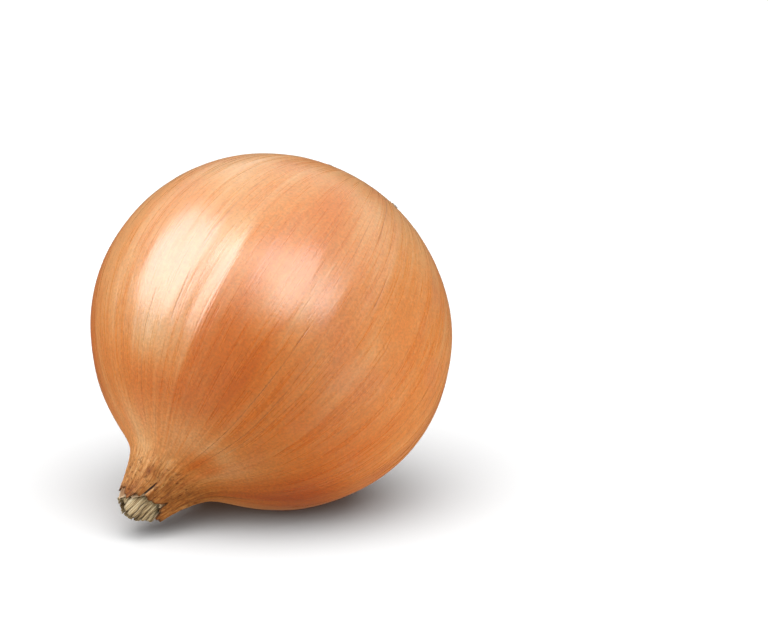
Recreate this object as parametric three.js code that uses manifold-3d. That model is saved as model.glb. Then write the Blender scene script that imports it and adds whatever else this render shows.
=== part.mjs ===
// A brown onion lying on its belly, with a torn papery neck and a tuft of dried roots.
//
// Millimetres, +Z up. The origin is the middle of the small flat spot that the onion rests on.
// The growth axis lies in the XZ plane: the neck points down towards -X, the root end up towards +X.
//
// Each piece is shaped along its growth axis: s runs from the equator (0) towards the neck (+) and
// the roots (-), phi turns round the axis, and phi = 0 is the side that faces up as the onion lies.

import * as THREE from 'three';
import { mergeVertices } from 'three/addons/utils/BufferGeometryUtils.js';
import Module from 'manifold-3d';

const wasm = await Module();
wasm.setup();

const { clamp, degToRad, lerp, smoothstep } = THREE.MathUtils;
const TURN = 2 * Math.PI;

// Driving dimensions.

// The bulb.
const equatorRadius = 40;
const rootHalfLength = 38.9;
const neckHalfLength = 37.87;
const shoulderSharpness = 3.49; // how tightly the shoulder turns into the neck
const shoulderEasing = 2.6; // the profile there is averaged over this far to both sides
const easingSteps = 4; // samples of that average to each side
const easingFade = 0.8; // how much less the furthest sample counts than the middle one

// The neck: its taper from one radius to the other, and where it starts to bend up and has bent.
const neckBase = 36;
const neckBaseRadius = 11.64;
const neckEnd = 52;
const neckEndRadius = 4.5;
const neckTaper = 1.4;
const neckWidest = 37.04; // below here the neck grows no wider under the shoulder
const neckBend = { start: 28, settled: 37.1, slope: 0.249 };
const pocket = { radius: 4.6, floor: 40 };

// How it lies.
const axisSlope = degToRad(45.2);
const flatSpotDepth = 0.76; // the belly is pressed flat to this depth

// The torn edge of the outer skin at the neck: its middle, its raggedness, the slits in it, and
// one longer lappet that stands off a little.
const skinEdge = { middle: 47.7, raggedness: 0.55 };
const slits = [
  { phi: degToRad(322), halfWidth: degToRad(7), depth: 3.4 },
  { phi: degToRad(269), halfWidth: degToRad(5), depth: 1.7 },
  { phi: degToRad(148), halfWidth: degToRad(8), depth: 2.4 },
  { phi: degToRad(62), halfWidth: degToRad(5), depth: 1.2 },
];
const lappet = { phi: degToRad(228), halfWidth: degToRad(36), reach: 1.8, lift: 0.5 };

// The root end.
const dimple = { floor: -37.2, edge: 8.9, raggedness: 0.45 };
const plate = { radius: 8.0, top: -37.55, crown: -39.8 };
const rootCount = 58;
const rootLength = { shortest: 2.2, longest: 6.6 };
const rootRadius = { base: 0.64, tip: 0.32 };
const combedTowards = degToRad(132); // the dried roots lie over to this side, and are longest there

// The pale inner sheaths in the neck.
const sheathPlug = { radius: 4.25, bottom: 40.35, top: 46.4 };
const sheathRings = [
  { count: 9, radius: 4.25, thickness: 0.8, end: 49.7 },
  { count: 7, radius: 2.85, thickness: 0.85, end: 49.2 },
  { count: 4, radius: 1.4, thickness: 1.0, end: 48.7 },
];
// Two sides of the sheaths were torn off further out: the middle of each, its half width and its reach.
const sheathTongues = [
  { phi: degToRad(302), halfWidth: degToRad(90), reach: 3.4 },
  { phi: degToRad(125), halfWidth: degToRad(60), reach: 1.8 },
];
const sheathFlare = 0.1;

// Faceting.
const turnSteps = 96;
const bodyRows = 30;
const neckRows = 12;
const rootSides = 5;
const rootSteps = 3;

const materials = {
  skin: new THREE.MeshStandardMaterial({ color: 0xc07a3e, roughness: 0.42, metalness: 0 }),
  sheath: new THREE.MeshStandardMaterial({ color: 0xc9bd8a, roughness: 0.8, metalness: 0 }),
  root: new THREE.MeshStandardMaterial({ color: 0x4a3020, roughness: 0.95, metalness: 0 }),
};

// A repeatable random number from 0 to 1 for each call (mulberry32).
function seededRandom(seed) {
  let state = seed >>> 0;
  return () => {
    state = (state + 0x6d2b79f5) >>> 0;
    let t = state;
    t = Math.imul(t ^ (t >>> 15), t | 1);
    t ^= t + Math.imul(t ^ (t >>> 7), t | 61);
    return ((t ^ (t >>> 14)) >>> 0) / 4294967296;
  };
}

// The smaller angle between two directions round the axis.
function angleBetween(a, b) {
  const gap = Math.abs(a - b) % TURN;
  return Math.min(gap, TURN - gap);
}

// 1 at the middle of a slit, lappet or tongue, falling smoothly to 0 at its half width.
function bump(phi, feature) {
  return 1 - smoothstep(angleBetween(phi, feature.phi), 0, feature.halfWidth);
}

// Radius of the bulb and the neck, blended where they meet at the shoulder.
function blendedRadius(s) {
  const half = s < 0 ? rootHalfLength : neckHalfLength;
  const bulb = equatorRadius * Math.sqrt(Math.max(0, 1 - (s / half) ** 2));
  const along = (clamp(s, neckWidest, neckEnd) - neckBase) / (neckEnd - neckBase);
  const neck = neckEndRadius + (neckBaseRadius - neckEndRadius) * (1 - along) ** neckTaper;
  const neckShare = smoothstep(s, 15, 30);
  return (bulb ** shoulderSharpness + (neck * neckShare) ** shoulderSharpness) ** (1 / shoulderSharpness);
}

// Radius of the smooth skin: the blended radius, averaged along the axis from the shoulder on, so that
// the shoulder runs into the neck without a crease.
function skinRadius(s) {
  const reach = shoulderEasing * smoothstep(s, 24, 33);
  let sum = 0;
  let weights = 0;
  for (let i = -easingSteps; i <= easingSteps; i += 1) {
    const share = i / easingSteps;
    const weight = 1 - easingFade * Math.abs(share);
    sum += weight * blendedRadius(s + reach * share);
    weights += weight;
  }
  return sum / weights;
}

// How far the neck has bent up, across the axis: its slope grows evenly up to where it has settled.
function bend(s) {
  const turning = neckBend.settled - neckBend.start;
  const past = Math.max(0, s - neckBend.start);
  const distance = past < turning ? past ** 2 / (2 * turning) : past - 0.5 * turning;
  return neckBend.slope * distance;
}

// Broad lobes and flats of the bulb, the pleats that deepen into the neck, and the lappet that
// stands off at its end, as a change of radius.
function relief(s, phi) {
  const lobes = 0.22 * Math.cos(3 * phi + 0.6) + 0.16 * Math.cos(5 * phi - 1.1);
  const ribs = 0.1 * Math.cos(16 * phi + 1.7 * Math.sin(2 * phi)) + 0.07 * Math.cos(24 * phi + 0.9);
  const pleats = Math.cos(13 * phi + 1.3 * Math.sin(3 * phi)) + 0.6 * Math.cos(22 * phi + Math.sin(5 * phi));
  const awayFromPoles = Math.cos(clamp(s / rootHalfLength, -1, 1) * 0.5 * Math.PI);
  const towardsNeck = smoothstep(s, 26, 42);
  const standsOff = lappet.lift * bump(phi, lappet) * smoothstep(s, 43, 49);
  return (lobes + ribs) * awayFromPoles + 0.12 * pleats * towardsNeck + standsOff;
}

// Where the outer skin ends at the neck: ragged, slit in places, with one longer lappet.
function skinEnd(phi) {
  const jags = Math.cos(7 * phi + 0.4) + 0.8 * Math.cos(12 * phi + 2.1) + 0.6 * Math.cos(19 * phi);
  let end = skinEdge.middle + skinEdge.raggedness * 0.5 * jags + lappet.reach * bump(phi, lappet);
  for (const slit of slits) {
    end -= slit.depth * bump(phi, slit);
  }
  return end;
}

// The torn edge of the skin round the root plate.
function dimpleEdge(phi) {
  const jags = Math.cos(5 * phi + 1.2) + 0.7 * Math.cos(11 * phi);
  return dimple.edge + dimple.raggedness * 0.5 * jags;
}

// Axial place of the root side's surface at a given radius.
function rootSideAt(radius) {
  return -rootHalfLength * Math.sqrt(1 - (radius / equatorRadius) ** 2);
}

// The bulb's rows from the middle of the root dimple, over the outside, to the pocket's floor.
// Each is a function of phi that gives [s, radius].
function bulbRows() {
  const rows = [
    (phi) => [dimple.floor, 0.5 * dimpleEdge(phi)],
    (phi) => [dimple.floor, dimpleEdge(phi)],
    (phi) => [rootSideAt(dimpleEdge(phi) + 0.4), dimpleEdge(phi) + 0.4],
  ];
  const firstAngle = degToRad(-74);
  const lastAngle = degToRad(60);
  for (let i = 0; i < bodyRows; i += 1) {
    const angle = lerp(firstAngle, lastAngle, i / (bodyRows - 1));
    const s = (angle < 0 ? rootHalfLength : neckHalfLength) * Math.sin(angle);
    rows.push((phi) => [s, skinRadius(s) + relief(s, phi)]);
  }
  const shoulder = neckHalfLength * Math.sin(lastAngle);
  for (let i = 1; i <= neckRows; i += 1) {
    rows.push((phi) => {
      const s = lerp(shoulder, skinEnd(phi), i / neckRows);
      return [s, skinRadius(s) + relief(s, phi)];
    });
  }
  for (const share of [0, 0.4, 1]) {
    rows.push((phi) => [lerp(skinEnd(phi) - 0.25, pocket.floor, share), pocket.radius]);
  }
  rows.push(() => [pocket.floor, 0.5 * pocket.radius]);
  return rows;
}

// Rotates the growth frame (neck along +Z, upper side along +X) to how the onion lies.
const lie = new THREE.Euler(0, -(0.5 * Math.PI + axisSlope), 0);

// The place of the bulb's centre: its belly is pressed flat to flatSpotDepth on the surface, and the
// middle of the pressed stretch of its underside lies over the origin.
function restingCentre() {
  const underside = [];
  for (let s = 0; s < neckHalfLength; s += 0.05) {
    const below = bend(s) - skinRadius(s) - relief(s, Math.PI);
    underside.push(new THREE.Vector3(below, 0, s).applyEuler(lie));
  }
  const surface = Math.min(...underside.map((point) => point.z)) + flatSpotDepth;
  const pressed = underside.filter((point) => point.z < surface);
  return new THREE.Vector3(-0.5 * (pressed[0].x + pressed.at(-1).x), 0, -surface);
}

const centre = restingCentre();

// The surface that the onion rests on, seen in the growth frame.
function restingPlane() {
  const plane = new THREE.Plane(new THREE.Vector3(0, 0, 1), 0);
  const place = new THREE.Matrix4().makeRotationFromEuler(lie).setPosition(centre);
  return plane.applyMatrix4(place.invert());
}

// The bulb in its brown skin: one closed surface from the root dimple to the pocket in the neck.
function bulbGeometry() {
  const rows = bulbRows();
  const floor = restingPlane();
  const point = new THREE.Vector3();
  const positions = [0, 0, dimple.floor];
  for (const row of rows) {
    for (let j = 0; j < turnSteps; j += 1) {
      const phi = (j / turnSteps) * TURN;
      const [s, radius] = row(phi);
      point.set(bend(s) + radius * Math.cos(phi), radius * Math.sin(phi), s);
      if (floor.distanceToPoint(point) < 0) {
        floor.projectPoint(point, point);
      }
      positions.push(point.x, point.y, point.z);
    }
  }
  positions.push(bend(pocket.floor), 0, pocket.floor);
  const last = rows.length * turnSteps + 1;
  const at = (row, j) => 1 + row * turnSteps + (j % turnSteps);
  const triangles = [];
  for (let j = 0; j < turnSteps; j += 1) {
    triangles.push(0, at(0, j + 1), at(0, j));
    for (let row = 0; row < rows.length - 1; row += 1) {
      triangles.push(at(row, j), at(row, j + 1), at(row + 1, j + 1));
      triangles.push(at(row, j), at(row + 1, j + 1), at(row + 1, j));
    }
    triangles.push(last, at(rows.length - 1, j), at(rows.length - 1, j + 1));
  }
  return indexedGeometry(positions, triangles);
}

function indexedGeometry(positions, triangles) {
  const geometry = new THREE.BufferGeometry();
  geometry.setAttribute('position', new THREE.Float32BufferAttribute(positions, 3));
  geometry.setIndex(triangles);
  geometry.computeVertexNormals();
  return geometry;
}

// A turned shape round the growth axis, from an outline of [radius, s] points that starts and ends on it.
function turned(outline, sides) {
  const points = outline.map(([radius, s]) => new THREE.Vector2(radius, s));
  return new THREE.LatheGeometry(points, sides).rotateX(0.5 * Math.PI);
}

// A closed three.js geometry as a solid that can be joined.
function solid(geometry) {
  const bare = geometry.clone();
  bare.deleteAttribute('normal');
  bare.deleteAttribute('uv');
  const merged = mergeVertices(bare, 1e-4);
  return new wasm.Manifold(new wasm.Mesh({
    numProp: 3,
    vertProperties: new Float32Array(merged.attributes.position.array),
    triVerts: new Uint32Array(merged.index.array),
  }));
}

// A joined solid back as a geometry, each vertex moved by an optional function.
function geometryOf(joined, move) {
  const mesh = joined.getMesh();
  const geometry = indexedGeometry(Array.from(mesh.vertProperties), Array.from(mesh.triVerts));
  if (move) {
    const places = geometry.attributes.position;
    const point = new THREE.Vector3();
    for (let i = 0; i < places.count; i += 1) {
      move(point.fromBufferAttribute(places, i));
      places.setXYZ(i, point.x, point.y, point.z);
    }
    geometry.computeVertexNormals();
  }
  return geometry;
}

// A closed tapered tube along a curve, with flat ends.
function taperedTube(curve, baseRadius, tipRadius, sides, steps) {
  const frames = curve.computeFrenetFrames(steps, false);
  const positions = [];
  for (let i = 0; i <= steps; i += 1) {
    const middle = curve.getPointAt(i / steps);
    const radius = lerp(baseRadius, tipRadius, i / steps);
    for (let j = 0; j < sides; j += 1) {
      const turn = (j / sides) * TURN;
      const offset = frames.normals[i].clone().multiplyScalar(radius * Math.cos(turn));
      offset.addScaledVector(frames.binormals[i], radius * Math.sin(turn));
      positions.push(middle.x + offset.x, middle.y + offset.y, middle.z + offset.z);
    }
  }
  const at = (i, j) => i * sides + (j % sides);
  const triangles = [];
  for (let j = 0; j < sides; j += 1) {
    for (let i = 0; i < steps; i += 1) {
      triangles.push(at(i, j), at(i, j + 1), at(i + 1, j + 1));
      triangles.push(at(i, j), at(i + 1, j + 1), at(i + 1, j));
    }
  }
  for (let j = 1; j < sides - 1; j += 1) {
    triangles.push(at(0, 0), at(0, j + 1), at(0, j));
    triangles.push(at(steps, 0), at(steps, j), at(steps, j + 1));
  }
  return indexedGeometry(positions, triangles);
}

// One dried root: it leaves the plate, lies over to the combed side and curls a little.
function rootGeometry(index, random) {
  const goldenAngle = TURN * 0.381966;
  const share = Math.sqrt((index + 0.5) / rootCount);
  const phi = index * goldenAngle + 0.5 * (random() - 0.5);
  const reach = share * (plate.radius - 0.6);
  const crown = lerp(plate.crown, plate.crown + 0.9, share ** 3);
  const base = new THREE.Vector3(reach * Math.cos(phi), reach * Math.sin(phi), crown + 0.8);
  const sheltered = 0.5 + 0.5 * share * Math.cos(phi - combedTowards);
  const length = lerp(rootLength.shortest, rootLength.longest, 0.6 * sheltered + 0.4 * random());
  const over = new THREE.Vector3(Math.cos(combedTowards), Math.sin(combedTowards), 0);
  const outwards = new THREE.Vector3(Math.cos(phi), Math.sin(phi), 0);
  const aside = combedTowards + 3.0 * (random() - 0.5);
  const curl = new THREE.Vector3(Math.cos(aside), Math.sin(aside), 0);
  const first = new THREE.Vector3(0, 0, -1).addScaledVector(over, 0.35);
  first.addScaledVector(outwards, 0.45 * share * sheltered).normalize();
  const second = new THREE.Vector3(0, 0, -0.35).addScaledVector(over, 0.5).addScaledVector(curl, 0.8);
  const middle = base.clone().addScaledVector(first, 0.8 + 0.45 * length);
  const end = middle.clone().addScaledVector(second.normalize(), 0.55 * length);
  const curve = new THREE.QuadraticBezierCurve3(base, middle, end);
  const baseRadius = rootRadius.base * lerp(0.85, 1.25, random());
  return taperedTube(curve, baseRadius, rootRadius.tip, rootSides, rootSteps);
}

// The root plate, a low lumpy dome, with its dried roots.
function rootTuftGeometry() {
  const random = seededRandom(17);
  const middle = 0.5 * (plate.top + plate.crown);
  const outline = [
    [0, plate.crown],
    [0.45 * plate.radius, plate.crown + 0.15],
    [0.8 * plate.radius, plate.crown + 0.6],
    [plate.radius, middle],
    [0.97 * plate.radius, plate.top],
    [0, plate.top],
  ];
  let tuft = solid(turned(outline, 30));
  for (let i = 0; i < rootCount; i += 1) {
    tuft = tuft.add(solid(rootGeometry(i, random)));
  }
  return geometryOf(tuft);
}

// One torn strip of sheath: a curved blade along the neck, its end slanted.
function sheathStrip(ring, phi, halfTurn, end, slant) {
  const radii = [ring.radius, ring.radius - ring.thickness];
  const heights = [sheathPlug.top - 1.2, lerp(sheathPlug.top, end, 0.5), end];
  const steps = 3;
  const positions = [];
  heights.forEach((height, level) => {
    radii.forEach((radius) => {
      for (let j = 0; j <= steps; j += 1) {
        const across = j / steps - 0.5;
        const turn = phi + 2 * halfTurn * across;
        const spread = radius + sheathFlare * (level / 2) ** 2;
        const ragged = level === 2 ? slant * across + 0.25 * Math.cos(9 * turn) : 0;
        positions.push(spread * Math.cos(turn), spread * Math.sin(turn), height + ragged);
      }
    });
  });
  const width = steps + 1;
  const at = (level, side, j) => (level * 2 + side) * width + j;
  const triangles = [];
  const quad = (a, b, c, d) => triangles.push(a, b, c, a, c, d);
  for (let level = 0; level < 2; level += 1) {
    for (let j = 0; j < steps; j += 1) {
      quad(at(level, 0, j), at(level, 0, j + 1), at(level + 1, 0, j + 1), at(level + 1, 0, j));
      quad(at(level, 1, j + 1), at(level, 1, j), at(level + 1, 1, j), at(level + 1, 1, j + 1));
    }
    quad(at(level, 1, 0), at(level, 0, 0), at(level + 1, 0, 0), at(level + 1, 1, 0));
    quad(at(level, 0, steps), at(level, 1, steps), at(level + 1, 1, steps), at(level + 1, 0, steps));
  }
  for (let j = 0; j < steps; j += 1) {
    quad(at(0, 1, j), at(0, 1, j + 1), at(0, 0, j + 1), at(0, 0, j));
    quad(at(2, 0, j), at(2, 0, j + 1), at(2, 1, j + 1), at(2, 1, j));
  }
  return indexedGeometry(positions, triangles);
}

// The dried inner sheaths: rings of torn strips round each other, grown together lower down.
function neckSheathsGeometry() {
  const random = seededRandom(5);
  const outline = [
    [0, sheathPlug.bottom],
    [sheathPlug.radius - 0.3, sheathPlug.bottom],
    [sheathPlug.radius, sheathPlug.bottom + 0.4],
    [sheathPlug.radius, sheathPlug.top - 0.3],
    [0, sheathPlug.top],
  ];
  let sheaths = solid(turned(outline, 36));
  for (const ring of sheathRings) {
    for (let i = 0; i < ring.count; i += 1) {
      const phi = ((i + 0.3 * random()) / ring.count) * TURN;
      const halfTurn = (0.5 * TURN / ring.count) * lerp(0.72, 0.93, random());
      let end = ring.end + 0.7 * (random() - 0.5);
      for (const tongue of sheathTongues) {
        end += (ring.radius / sheathPlug.radius) * tongue.reach * bump(phi, tongue);
      }
      const slant = 1.0 * (random() - 0.5);
      sheaths = sheaths.add(solid(sheathStrip(ring, phi, halfTurn, end, slant)));
    }
  }
  return geometryOf(sheaths, (point) => point.setX(point.x + bend(point.z)));
}

function piece(name, geometry, material) {
  const mesh = new THREE.Mesh(geometry, material);
  mesh.name = name;
  return mesh;
}

const growth = new THREE.Group();
growth.rotation.copy(lie);
growth.position.copy(centre);
growth.add(
  piece('bulb', bulbGeometry(), materials.skin),
  piece('neck_sheaths', neckSheathsGeometry(), materials.sheath),
  piece('root_tuft', rootTuftGeometry(), materials.root),
);

const onion = new THREE.Group();
onion.add(growth);

export default onion;
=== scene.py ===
"""A brown onion lying on its belly: dry coppery skin, a torn papery neck and a tuft of dried roots.

Shapes are worked out in millimetres in the growth frame: s runs along the growth axis from the equator
(0) towards the neck (+) and the roots (-), phi turns round it, and phi = 0 is the side that faces up.
Then they are laid down in the row frame, in metres, where the bulb of the frame lies.
"""

import bpy
import numpy as np
from mathutils import Matrix, Vector


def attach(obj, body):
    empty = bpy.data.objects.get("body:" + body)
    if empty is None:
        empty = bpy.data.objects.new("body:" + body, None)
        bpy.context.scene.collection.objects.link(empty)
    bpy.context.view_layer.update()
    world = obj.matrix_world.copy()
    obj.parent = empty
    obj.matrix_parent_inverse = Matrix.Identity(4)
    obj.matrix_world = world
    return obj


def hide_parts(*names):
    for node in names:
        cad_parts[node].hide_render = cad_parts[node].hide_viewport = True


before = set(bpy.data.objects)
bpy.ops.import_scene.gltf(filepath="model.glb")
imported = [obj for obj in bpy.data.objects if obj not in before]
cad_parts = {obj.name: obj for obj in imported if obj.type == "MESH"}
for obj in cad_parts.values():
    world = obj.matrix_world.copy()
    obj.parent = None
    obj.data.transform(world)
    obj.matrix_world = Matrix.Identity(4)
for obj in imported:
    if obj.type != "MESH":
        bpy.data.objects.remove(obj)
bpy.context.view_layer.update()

MM = 0.001
TURN = 2 * np.pi

# ---------------------------------------------------------------- driving sizes, as in the frame's solids

EQUATOR_RADIUS = 40.0
ROOT_HALF_LENGTH = 38.9
NECK_HALF_LENGTH = 37.87
SHOULDER_SHARPNESS = 3.49
SHOULDER_EASING, EASING_STEPS, EASING_FADE = 2.6, 4, 0.8
EASED_FROM = (24, 33)  # where the easing sets in and where it is in full
NECK_FROM = (15, 30)  # where the neck's taper sets in and where it is in full
NECK_BASE, NECK_BASE_RADIUS = 36.0, 11.64
NECK_END, NECK_END_RADIUS = 52.0, 4.5
NECK_TAPER = 1.4
NECK_WIDEST = 37.04
BEND_START, BEND_SETTLED, BEND_SLOPE = 28.0, 37.1, 0.249
AXIS_SLOPE = np.radians(45.2)
FLAT_SPOT_DEPTH = 0.76
SKIN_EDGE, SKIN_EDGE_RAGGEDNESS = 47.7, 0.55
SLITS = ((322, 7, 3.4), (269, 5, 1.7), (148, 8, 2.4), (62, 5, 1.2))  # direction, half width, depth
LAPPET, LAPPET_REACH, LAPPET_LIFT = (228, 36), 1.8, 0.5  # direction and half width
DIMPLE_FLOOR, DIMPLE_EDGE, DIMPLE_RAGGEDNESS = -37.2, 8.9, 0.45
LINING_END, SLEEVE_START, STRIP_START = 41.0, 41.6, 42.5  # how deep into the neck each layer reaches
SHEATH_RADIUS = 4.45
PLATE_RADIUS, PLATE_TOP, PLATE_CROWN = 8.0, -37.55, -39.8
COMBED_TOWARDS = np.radians(132)

# ---------------------------------------------------------------- the camera, as the onion is seen

CAMERA_AZIMUTH = np.radians(-43.1)
CAMERA_ELEVATION = np.radians(13.0)
CAMERA_DISTANCE = 0.62
CAMERA_LENS = 132.6
AIM_RIGHT, AIM_UP = 0.0250, 0.0043  # the view's middle, from the bulb's centre


def smoothstep(x, low, high):
    """0 below low and 1 above high, joined by the cubic that is level at both ends."""
    t = np.clip((x - low) / (high - low), 0, 1)
    return t * t * (3 - 2 * t)


def lerp(a, b, t):
    """A straight line from a to b as t goes from 0 to 1."""
    return a + (b - a) * t


# ---------------------------------------------------------------- the onion's form

def turn_gap(phi, direction):
    """The angle between phi and a direction in degrees, from 0 to half a turn."""
    gap = np.abs(phi - np.radians(direction)) % TURN
    return np.minimum(gap, TURN - gap)


def bump_round(phi, direction, half_width):
    """1 at a direction (degrees) and 0 past its half width, joined by a smooth step."""
    return 1 - smoothstep(turn_gap(phi, direction), 0, np.radians(half_width))


def bumps_round(phi, bumps):
    """The sum of bumps, each given by its direction, half width and height."""
    return sum(height * bump_round(phi, direction, half_width) for direction, half_width, height in bumps)


def directions_round(count):
    """Evenly spread directions for the columns of a grid that closes round."""
    return np.arange(count) / count * TURN


def blended_radius(s):
    """The bulb's ellipse and the neck's taper, blended by a power mean where they meet."""
    half = np.where(s < 0, ROOT_HALF_LENGTH, NECK_HALF_LENGTH)
    bulb = EQUATOR_RADIUS * np.sqrt(np.maximum(0, 1 - (s / half) ** 2))
    along = (np.clip(s, NECK_WIDEST, NECK_END) - NECK_BASE) / (NECK_END - NECK_BASE)
    neck = NECK_END_RADIUS + (NECK_BASE_RADIUS - NECK_END_RADIUS) * (1 - along) ** NECK_TAPER
    neck = neck * smoothstep(s, *NECK_FROM)
    return (bulb ** SHOULDER_SHARPNESS + neck ** SHOULDER_SHARPNESS) ** (1 / SHOULDER_SHARPNESS)


def skin_radius(s):
    """The blended radius, averaged over a stretch of the axis that opens up from the shoulder on."""
    reach = SHOULDER_EASING * smoothstep(s, *EASED_FROM)
    shares = np.linspace(-1, 1, 2 * EASING_STEPS + 1)
    weights = 1 - EASING_FADE * np.abs(shares)
    total = sum(weight * blended_radius(s + reach * share) for weight, share in zip(weights, shares))
    return total / weights.sum()


def bend(s):
    """How far the neck has bent up across the axis: a parabola that runs on as a straight slope."""
    turning = BEND_SETTLED - BEND_START
    past = np.maximum(0, s - BEND_START)
    return BEND_SLOPE * np.where(past < turning, past ** 2 / (2 * turning), past - 0.5 * turning)


def relief(s, phi):
    """Broad lobes and ribs that fade at the poles, pleats that grow into the neck, all cosines of phi, and
    the lappet that stands off at its end."""
    lobes = 0.22 * np.cos(3 * phi + 0.6) + 0.16 * np.cos(5 * phi - 1.1)
    ribs = 0.1 * np.cos(16 * phi + 1.7 * np.sin(2 * phi)) + 0.07 * np.cos(24 * phi + 0.9)
    pleats = np.cos(13 * phi + 1.3 * np.sin(3 * phi)) + 0.6 * np.cos(22 * phi + np.sin(5 * phi))
    away_from_poles = np.cos(np.clip(s / ROOT_HALF_LENGTH, -1, 1) * 0.5 * np.pi)
    stands_off = LAPPET_LIFT * bump_round(phi, *LAPPET) * smoothstep(s, 43, 49)
    return (lobes + ribs) * away_from_poles + 0.12 * pleats * smoothstep(s, 26, 42) + stands_off


def skin_end(phi):
    """Where the outer skin is torn off at the neck: a ragged line with slits and one longer lappet."""
    jags = np.cos(7 * phi + 0.4) + 0.8 * np.cos(12 * phi + 2.1) + 0.6 * np.cos(19 * phi)
    end = SKIN_EDGE + SKIN_EDGE_RAGGEDNESS * 0.5 * jags + LAPPET_REACH * bump_round(phi, *LAPPET)
    return end - bumps_round(phi, SLITS)


def dimple_edge(phi):
    """The radius of the skin's torn edge round the root plate."""
    jags = np.cos(5 * phi + 1.2) + 0.7 * np.cos(11 * phi)
    return DIMPLE_EDGE + DIMPLE_RAGGEDNESS * 0.5 * jags


def root_side_at(radius):
    """The place along the axis of the root side's surface at a radius: the lower half of the ellipse."""
    return -ROOT_HALF_LENGTH * np.sqrt(1 - (radius / EQUATOR_RADIUS) ** 2)


UP_SIDE = np.array([-np.sin(AXIS_SLOPE), 0, np.cos(AXIS_SLOPE)])
CROSS_SIDE = np.array([0.0, 1.0, 0.0])
NECK_WAY = np.array([-np.cos(AXIS_SLOPE), 0, -np.sin(AXIS_SLOPE)])


def resting_centre():
    """The bulb's centre: its belly is pressed flat to a depth, and the middle of the pressed stretch of its
    underside lies over the origin."""
    s = np.arange(0, NECK_HALF_LENGTH, 0.05)
    below = bend(s) - skin_radius(s) - relief(s, np.pi)
    underside = below[:, None] * UP_SIDE + s[:, None] * NECK_WAY
    surface = underside[:, 2].min() + FLAT_SPOT_DEPTH
    pressed = underside[underside[:, 2] < surface, 0]
    return np.array([-0.5 * (pressed[0] + pressed[-1]), 0, -surface])


CENTRE = resting_centre()


def laid(points):
    """Points of the growth frame, in millimetres, turned to how the onion lies, over its flat spot."""
    x, y, s = points[..., 0], points[..., 1], points[..., 2]
    return MM * (x[..., None] * UP_SIDE + y[..., None] * CROSS_SIDE + s[..., None] * NECK_WAY + CENTRE)


def around(s, phi, radius):
    """Growth-frame points at a radius round the bent axis."""
    return np.stack([bend(s) + radius * np.cos(phi), radius * np.sin(phi), s + 0 * phi], axis=-1)


def growth_place(s, turn):
    """A place on the skin for the materials to read: the cosine and sine of the turn, and s in radii."""
    return np.stack([np.cos(turn), np.sin(turn), s / EQUATOR_RADIUS], axis=-1).reshape(-1, 3)


# ---------------------------------------------------------------- seeded variation

def wander(x, seed, waves, lowest, highest, falloff=1.0):
    """A smooth wandering line that closes after a turn: a sum of cosines, each with a random whole number of
    waves."""
    rng = np.random.default_rng(seed)
    total = np.zeros_like(x, dtype=float)
    for count in rng.integers(lowest, highest + 1, waves):
        total += np.cos(count * x + rng.uniform(0, TURN)) * (lowest / count) ** falloff
    return total / np.sqrt(0.5 * waves)


def sawtooth_tears(phi, seed, teeth):
    """Sharp uneven tears from 0 to 1: straight lines between random heights at random directions."""
    rng = np.random.default_rng(seed)
    places = np.sort(rng.uniform(0, TURN, teeth))
    heights = rng.uniform(0, 1, teeth)
    places = np.concatenate([[places[-1] - TURN], places, [places[0] + TURN]])
    heights = np.concatenate([[heights[-1]], heights, [heights[0]]])
    return np.interp(phi % TURN, places, heights)


# ---------------------------------------------------------------- meshes from grids

def mesh_object(name, points, faces, material, smooth=True):
    """A mesh from arrays of points (metres, row frame) and faces, with its material."""
    mesh = bpy.data.meshes.new(name)
    mesh.from_pydata(points, [], faces)
    mesh.update()
    if smooth:
        mesh.polygons.foreach_set("use_smooth", np.ones(len(mesh.polygons), bool))
    mesh.materials.append(material)
    piece = bpy.data.objects.new(name, mesh)
    bpy.context.scene.collection.objects.link(piece)
    return piece


def round_faces(rows, columns, first=0):
    """Quads of a grid that closes round: row i joins row i + 1, and the last column joins the first."""
    i, j = np.meshgrid(np.arange(rows - 1), np.arange(columns), indexing="ij")
    k = (j + 1) % columns
    corners = [i * columns + j, i * columns + k, (i + 1) * columns + k, (i + 1) * columns + j]
    return first + np.stack(corners, axis=-1).reshape(-1, 4)


def fan_faces(pole, ring_start, columns, outwards_last):
    """Triangles from a pole to a ring, turned to face out at the first or at the last end."""
    j = np.arange(columns)
    k = (j + 1) % columns
    pole = np.full(columns, pole)
    ring = (j, k) if outwards_last else (k, j)
    return np.stack([pole, ring_start + ring[0], ring_start + ring[1]], axis=-1)


def set_attribute(piece, name, values, kind="FLOAT"):
    """A named value or vector on each vertex, for the materials to read."""
    attribute = piece.data.attributes.new(name, kind, "POINT")
    key = "value" if kind == "FLOAT" else "vector"
    attribute.data.foreach_set(key, np.ascontiguousarray(values, dtype=np.float32).ravel())


# ---------------------------------------------------------------- node helpers

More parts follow.
